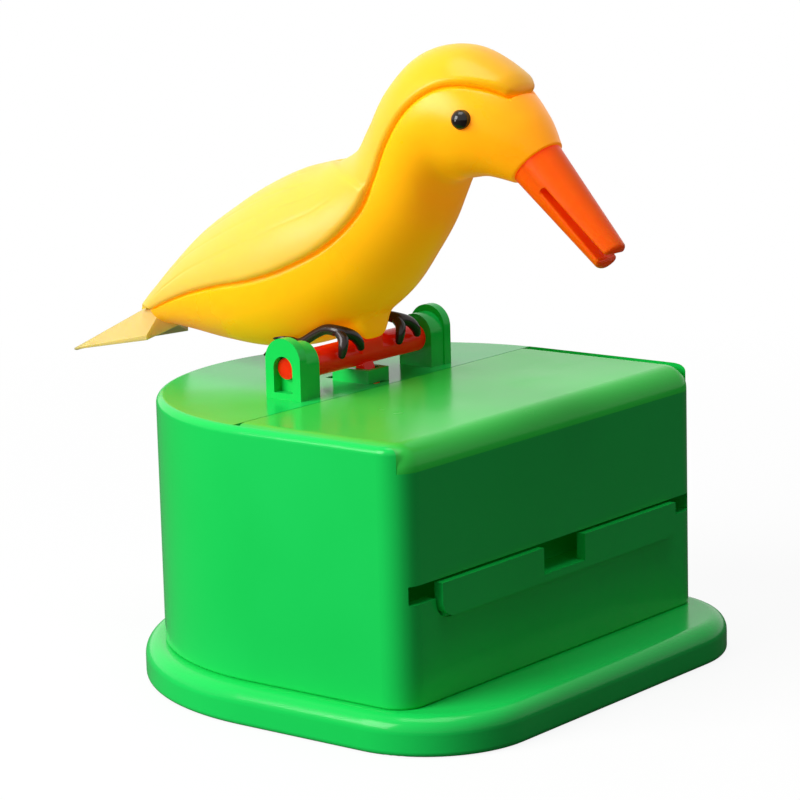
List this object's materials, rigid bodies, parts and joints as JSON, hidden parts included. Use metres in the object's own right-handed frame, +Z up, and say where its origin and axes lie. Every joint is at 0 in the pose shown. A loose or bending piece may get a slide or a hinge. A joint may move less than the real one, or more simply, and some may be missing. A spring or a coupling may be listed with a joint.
{
  "type": "toothpick dispenser",
  "caption": "Toothpick dispenser: a yellow bird with a split beak on a sprung perch bows over a green D-shaped box to pick from its front trough.",
  "frame": {"origin": "on the base's underside, on the foot boss, at the centre of the base's round rear half", "axes": "+X to the bird's left, across the box; -Y out of the front face, the way the beak points; +Z up; the mirror plane of the shape is X = 0"},
  "size_m": [0.0802, 0.1091, 0.0952],
  "materials": {
    "shell_green": "glossy injection-moulded plastic",
    "lid_green": "glossy injection-moulded plastic, a little lighter",
    "bar_red": "glossy plastic",
    "bird_yellow": "glossy plastic, slightly translucent",
    "wing_yellow": "glossy plastic, paler and slightly translucent",
    "beak_orange": "glossy plastic",
    "eye_black": "glossy bead",
    "foot_brown": "glossy dark plastic",
    "steel": "bright spring and screw steel"
  },
  "bodies": {
    "case": {"base_plate": "shell_green", "case_shell": "shell_green", "lid": "lid_green", "hopper_tray": "shell_green", "return_spring": "steel", "spring_pin": "steel", "base_screws": "steel"},
    "bird": {"perch_bar": "bar_red", "bird_body": "bird_yellow", "bird_back": "wing_yellow", "beak": "beak_orange", "eye_left": "eye_black", "eye_right": "eye_black", "foot_left": "foot_brown", "foot_right": "foot_brown"}
  },
  "joints": [
    {"name": "peck", "type": "hinge", "parent": "case", "child": "bird", "pos_m": [0, 0.0078, 0.04785], "axis": [1, 0, 0], "range_deg": [0, 56], "stiffness_Nm_per_rad": 0.035, "springref_deg": -9.4, "deforming": ["return_spring"]}
  ]
}
